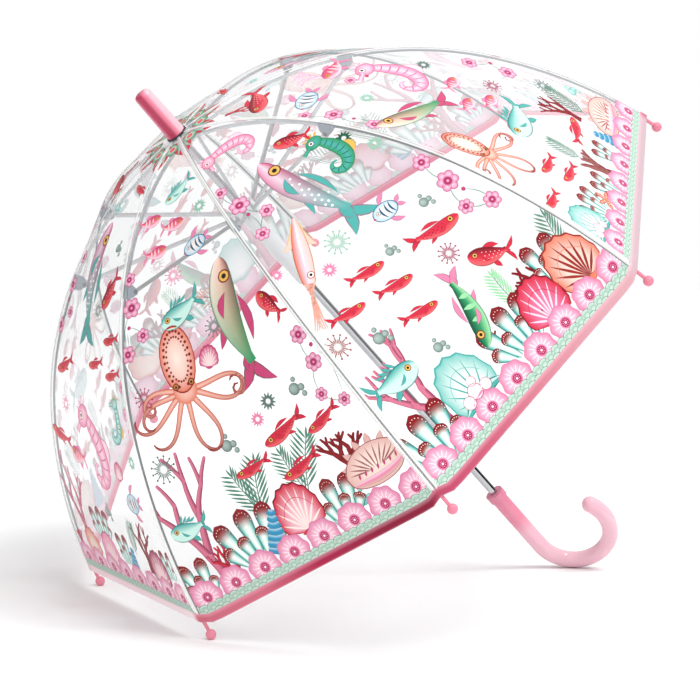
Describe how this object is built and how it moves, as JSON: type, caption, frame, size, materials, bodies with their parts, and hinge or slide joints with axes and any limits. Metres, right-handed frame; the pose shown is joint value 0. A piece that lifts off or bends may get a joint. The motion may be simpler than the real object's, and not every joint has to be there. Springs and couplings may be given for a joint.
{
  "type": "children's dome umbrella",
  "caption": "Open children's umbrella with a clear printed dome canopy, folding ribs and stretchers on a sliding runner, a straight shaft and a hooked handle.",
  "frame": {"origin": "middle of the handle's straight grip, on the shaft axis", "axes": "+Z along the shaft towards the ferrule, +X the way the hook bends, Z the umbrella's length"},
  "size_m": [0.659, 0.659, 0.6789],
  "materials": {
    "chromed_shaft": "polished",
    "pink_plastic": "semi-gloss",
    "pale_pink_handle": "semi-gloss",
    "grey_steel": "satin",
    "fibre_rod": "satin",
    "steel_wire": "plain",
    "white_plastic": "satin",
    "clip_plastic": "satin",
    "clear_film": "clear printed film",
    "dark_washer": "matte"
  },
  "bodies": {
    "frame": {"shaft_tube": "chromed_shaft", "ferrule": "pink_plastic", "canopy_washer": "dark_washer", "top_notch": "white_plastic", "notch_wire": "steel_wire", "handle": "pale_pink_handle"},
    "runner": {"runner": "white_plastic", "runner_wire": "steel_wire", "runner_collar": "white_plastic"},
    "rib_0": {"rib_channel_0": "grey_steel", "rib_clip_0": "clip_plastic", "canopy_panel_0": "clear_film"},
    "rod_0": {"rib_rod_0": "fibre_rod", "rib_tip_0": "pink_plastic"},
    "strut_0": {"stretcher_0": "grey_steel"},
    "rib_1": {"rib_channel_1": "grey_steel", "rib_clip_1": "clip_plastic", "canopy_panel_1": "clear_film"},
    "rod_1": {"rib_rod_1": "fibre_rod", "rib_tip_1": "pink_plastic"},
    "strut_1": {"stretcher_1": "grey_steel"},
    "rib_2": {"rib_channel_2": "grey_steel", "rib_clip_2": "clip_plastic", "canopy_panel_2": "clear_film"},
    "rod_2": {"rib_rod_2": "fibre_rod", "rib_tip_2": "pink_plastic"},
    "strut_2": {"stretcher_2": "grey_steel"},
    "rib_3": {"rib_channel_3": "grey_steel", "rib_clip_3": "clip_plastic", "canopy_panel_3": "clear_film"},
    "rod_3": {"rib_rod_3": "fibre_rod", "rib_tip_3": "pink_plastic"},
    "strut_3": {"stretcher_3": "grey_steel"},
    "rib_4": {"rib_channel_4": "grey_steel", "rib_clip_4": "clip_plastic", "canopy_panel_4": "clear_film"},
    "rod_4": {"rib_rod_4": "fibre_rod", "rib_tip_4": "pink_plastic"},
    "strut_4": {"stretcher_4": "grey_steel"},
    "rib_5": {"rib_channel_5": "grey_steel", "rib_clip_5": "clip_plastic", "canopy_panel_5": "clear_film"},
    "rod_5": {"rib_rod_5": "fibre_rod", "rib_tip_5": "pink_plastic"},
    "strut_5": {"stretcher_5": "grey_steel"},
    "rib_6": {"rib_channel_6": "grey_steel", "rib_clip_6": "clip_plastic", "canopy_panel_6": "clear_film"},
    "rod_6": {"rib_rod_6": "fibre_rod", "rib_tip_6": "pink_plastic"},
    "strut_6": {"stretcher_6": "grey_steel"},
    "rib_7": {"rib_channel_7": "grey_steel", "rib_clip_7": "clip_plastic", "canopy_panel_7": "clear_film"},
    "rod_7": {"rib_rod_7": "fibre_rod", "rib_tip_7": "pink_plastic"},
    "strut_7": {"stretcher_7": "grey_steel"}
  },
  "joints": [
    {"name": "runner_slide", "type": "slide", "parent": "frame", "child": "runner", "axis": [0, 0, -1], "range_m": [0, 0.22076]},
    {"name": "rib_hinge_0", "type": "hinge", "parent": "frame", "child": "rib_0", "pos_m": [0.00785, 0.00325, 0.53], "axis": [-0.3827, 0.9239, 0], "range_deg": [0, 71.48], "deforming": ["canopy_panel_0"]},
    {"name": "rod_flex_0", "type": "hinge", "parent": "rib_0", "child": "rod_0", "pos_m": [0.1582, 0.06553, 0.48825], "axis": [-0.3827, 0.9239, 0], "range_deg": [-34.37, 0]},
    {"name": "stretcher_hinge_0", "type": "hinge", "parent": "rib_0", "child": "strut_0", "pos_m": [0.1471, 0.06093, 0.48529], "axis": [-0.3827, 0.9239, 0], "range_deg": [-143.08, 0]},
    {"name": "rib_hinge_1", "type": "hinge", "parent": "frame", "child": "rib_1", "pos_m": [0.00325, 0.00785, 0.53], "axis": [-0.9239, 0.3827, 0], "range_deg": [0, 71.48], "deforming": ["canopy_panel_1"]},
    {"name": "rod_flex_1", "type": "hinge", "parent": "rib_1", "child": "rod_1", "pos_m": [0.06553, 0.1582, 0.48825], "axis": [-0.9239, 0.3827, 0], "range_deg": [-34.37, 0]},
    {"name": "stretcher_hinge_1", "type": "hinge", "parent": "rib_1", "child": "strut_1", "pos_m": [0.06093, 0.1471, 0.48529], "axis": [-0.9239, 0.3827, 0], "range_deg": [-143.08, 0]},
    {"name": "rib_hinge_2", "type": "hinge", "parent": "frame", "child": "rib_2", "pos_m": [-0.00325, 0.00785, 0.53], "axis": [-0.9239, -0.3827, 0], "range_deg": [0, 71.48], "deforming": ["canopy_panel_2"]},
    {"name": "rod_flex_2", "type": "hinge", "parent": "rib_2", "child": "rod_2", "pos_m": [-0.06553, 0.1582, 0.48825], "axis": [-0.9239, -0.3827, 0], "range_deg": [-34.37, 0]},
    {"name": "stretcher_hinge_2", "type": "hinge", "parent": "rib_2", "child": "strut_2", "pos_m": [-0.06093, 0.1471, 0.48529], "axis": [-0.9239, -0.3827, 0], "range_deg": [-143.08, 0]},
    {"name": "rib_hinge_3", "type": "hinge", "parent": "frame", "child": "rib_3", "pos_m": [-0.00785, 0.00325, 0.53], "axis": [-0.3827, -0.9239, 0], "range_deg": [0, 71.48], "deforming": ["canopy_panel_3"]},
    {"name": "rod_flex_3", "type": "hinge", "parent": "rib_3", "child": "rod_3", "pos_m": [-0.1582, 0.06553, 0.48825], "axis": [-0.3827, -0.9239, 0], "range_deg": [-34.37, 0]},
    {"name": "stretcher_hinge_3", "type": "hinge", "parent": "rib_3", "child": "strut_3", "pos_m": [-0.1471, 0.06093, 0.48529], "axis": [-0.3827, -0.9239, 0], "range_deg": [-143.08, 0]},
    {"name": "rib_hinge_4", "type": "hinge", "parent": "frame", "child": "rib_4", "pos_m": [-0.00785, -0.00325, 0.53], "axis": [0.3827, -0.9239, 0], "range_deg": [0, 71.48], "deforming": ["canopy_panel_4"]},
    {"name": "rod_flex_4", "type": "hinge", "parent": "rib_4", "child": "rod_4", "pos_m": [-0.1582, -0.06553, 0.48825], "axis": [0.3827, -0.9239, 0], "range_deg": [-34.37, 0]},
    {"name": "stretcher_hinge_4", "type": "hinge", "parent": "rib_4", "child": "strut_4", "pos_m": [-0.1471, -0.06093, 0.48529], "axis": [0.3827, -0.9239, 0], "range_deg": [-143.08, 0]},
    {"name": "rib_hinge_5", "type": "hinge", "parent": "frame", "child": "rib_5", "pos_m": [-0.00325, -0.00785, 0.53], "axis": [0.9239, -0.3827, 0], "range_deg": [0, 71.48], "deforming": ["canopy_panel_5"]},
    {"name": "rod_flex_5", "type": "hinge", "parent": "rib_5", "child": "rod_5", "pos_m": [-0.06553, -0.1582, 0.48825], "axis": [0.9239, -0.3827, 0], "range_deg": [-34.37, 0]},
    {"name": "stretcher_hinge_5", "type": "hinge", "parent": "rib_5", "child": "strut_5", "pos_m": [-0.06093, -0.1471, 0.48529], "axis": [0.9239, -0.3827, 0], "range_deg": [-143.08, 0]},
    {"name": "rib_hinge_6", "type": "hinge", "parent": "frame", "child": "rib_6", "pos_m": [0.00325, -0.00785, 0.53], "axis": [0.9239, 0.3827, 0], "range_deg": [0, 71.48], "deforming": ["canopy_panel_6"]},
    {"name": "rod_flex_6", "type": "hinge", "parent": "rib_6", "child": "rod_6", "pos_m": [0.06553, -0.1582, 0.48825], "axis": [0.9239, 0.3827, 0], "range_deg": [-34.37, 0]},
    {"name": "stretcher_hinge_6", "type": "hinge", "parent": "rib_6", "child": "strut_6", "pos_m": [0.06093, -0.1471, 0.48529], "axis": [0.9239, 0.3827, 0], "range_deg": [-143.08, 0]},
    {"name": "rib_hinge_7", "type": "hinge", "parent": "frame", "child": "rib_7", "pos_m": [0.00785, -0.00325, 0.53], "axis": [0.3827, 0.9239, 0], "range_deg": [0, 71.48], "deforming": ["canopy_panel_7"]},
    {"name": "rod_flex_7", "type": "hinge", "parent": "rib_7", "child": "rod_7", "pos_m": [0.1582, -0.06553, 0.48825], "axis": [0.3827, 0.9239, 0], "range_deg": [-34.37, 0]},
    {"name": "stretcher_hinge_7", "type": "hinge", "parent": "rib_7", "child": "strut_7", "pos_m": [0.1471, -0.06093, 0.48529], "axis": [0.3827, 0.9239, 0], "range_deg": [-143.08, 0]}
  ],
  "couplings": [
    {"joint": "rib_hinge_0", "follows": "runner_slide", "rad_per_m": 5.6507},
    {"joint": "rod_flex_0", "follows": "runner_slide", "rad_per_m": -2.7164},
    {"joint": "stretcher_hinge_0", "follows": "runner_slide", "rad_per_m": -11.312},
    {"joint": "rib_hinge_1", "follows": "runner_slide", "rad_per_m": 5.6507},
    {"joint": "rod_flex_1", "follows": "runner_slide", "rad_per_m": -2.7164},
    {"joint": "stretcher_hinge_1", "follows": "runner_slide", "rad_per_m": -11.312},
    {"joint": "rib_hinge_2", "follows": "runner_slide", "rad_per_m": 5.6507},
    {"joint": "rod_flex_2", "follows": "runner_slide", "rad_per_m": -2.7164},
    {"joint": "stretcher_hinge_2", "follows": "runner_slide", "rad_per_m": -11.312},
    {"joint": "rib_hinge_3", "follows": "runner_slide", "rad_per_m": 5.6507},
    {"joint": "rod_flex_3", "follows": "runner_slide", "rad_per_m": -2.7164},
    {"joint": "stretcher_hinge_3", "follows": "runner_slide", "rad_per_m": -11.312},
    {"joint": "rib_hinge_4", "follows": "runner_slide", "rad_per_m": 5.6507},
    {"joint": "rod_flex_4", "follows": "runner_slide", "rad_per_m": -2.7164},
    {"joint": "stretcher_hinge_4", "follows": "runner_slide", "rad_per_m": -11.312},
    {"joint": "rib_hinge_5", "follows": "runner_slide", "rad_per_m": 5.6507},
    {"joint": "rod_flex_5", "follows": "runner_slide", "rad_per_m": -2.7164},
    {"joint": "stretcher_hinge_5", "follows": "runner_slide", "rad_per_m": -11.312},
    {"joint": "rib_hinge_6", "follows": "runner_slide", "rad_per_m": 5.6507},
    {"joint": "rod_flex_6", "follows": "runner_slide", "rad_per_m": -2.7164},
    {"joint": "stretcher_hinge_6", "follows": "runner_slide", "rad_per_m": -11.312},
    {"joint": "rib_hinge_7", "follows": "runner_slide", "rad_per_m": 5.6507},
    {"joint": "rod_flex_7", "follows": "runner_slide", "rad_per_m": -2.7164},
    {"joint": "stretcher_hinge_7", "follows": "runner_slide", "rad_per_m": -11.312}
  ]
}
